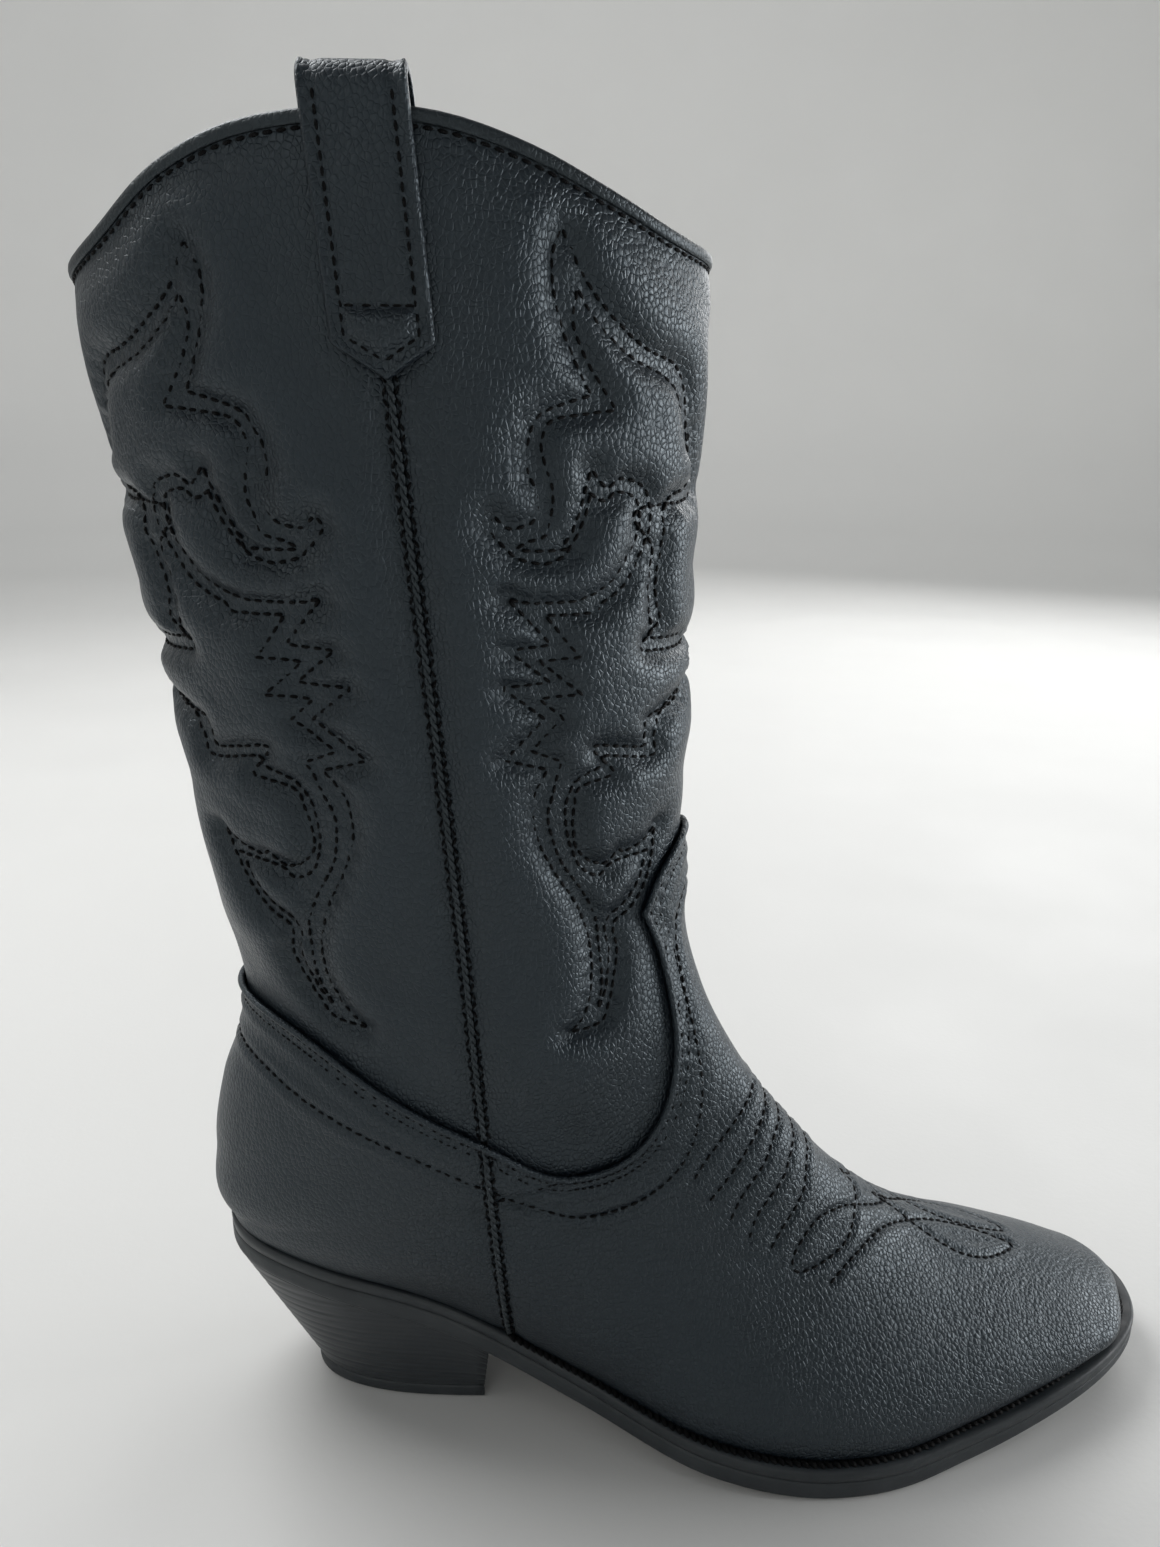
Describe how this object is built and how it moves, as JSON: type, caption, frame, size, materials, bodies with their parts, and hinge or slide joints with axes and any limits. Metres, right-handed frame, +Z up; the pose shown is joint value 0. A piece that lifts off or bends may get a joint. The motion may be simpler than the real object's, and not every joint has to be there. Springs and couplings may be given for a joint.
{
  "type": "cowboy boot",
  "caption": "Pull-on western boot, right foot, with quilt-stitched shaft, scalloped rim, pull straps, pointed toe, welted sole and underslung stacked heel.",
  "frame": {"origin": "bottom centre of the bounding box, on the floor between the heel lift and the ball of the sole", "axes": "+X points from the heel towards the toe, +Y points to the inner (medial) side of this right boot, +Z points up from the floor"},
  "size_m": [0.3028, 0.1088, 0.3503],
  "materials": {
    "outer_leather": "pebble-grained black synthetic leather, soft satin sheen",
    "trim": "black braided welt cord and folded tape, satin",
    "lining": "dark woven lining, matt",
    "foam": "grey quilting foam, matt",
    "stiffener": "tan fibre stiffener, matt",
    "fibreboard": "brown insole fibreboard, matt",
    "sock": "dark padded sock cloth, matt",
    "sole_rubber": "dark charcoal moulded rubber, satin",
    "stacked_heel": "black stacked-look heel with fine level lines, satin",
    "cork": "ground cork filler, matt",
    "steel": "plain steel"
  },
  "bodies": {
    "root": {"shaft_front_panel": "outer_leather", "shaft_back_panel": "outer_leather", "vamp": "outer_leather", "heel_counter": "outer_leather", "pull_strap_lateral": "outer_leather", "pull_strap_medial": "outer_leather", "shaft_welt_lateral": "trim", "shaft_welt_medial": "trim", "foot_welt_lateral": "trim", "foot_welt_medial": "trim", "top_binding": "trim", "shaft_front_lining": "lining", "shaft_back_lining": "lining", "vamp_lining": "lining", "counter_lining": "lining", "shaft_front_foam": "foam", "shaft_back_foam": "foam", "heel_pad": "foam", "toe_puff": "stiffener", "counter_stiffener": "stiffener", "insole_board": "fibreboard", "sock_liner": "sock", "outsole": "sole_rubber", "welt_strip": "sole_rubber", "heel_top_lift": "sole_rubber", "heel_block": "stacked_heel", "bottom_filler": "cork", "shank": "steel", "shank_rivet_1": "steel", "shank_rivet_2": "steel", "heel_screw": "steel", "heel_nail_1": "steel", "heel_nail_2": "steel", "heel_nail_3": "steel", "heel_nail_4": "steel"}
  },
  "joints": []
}
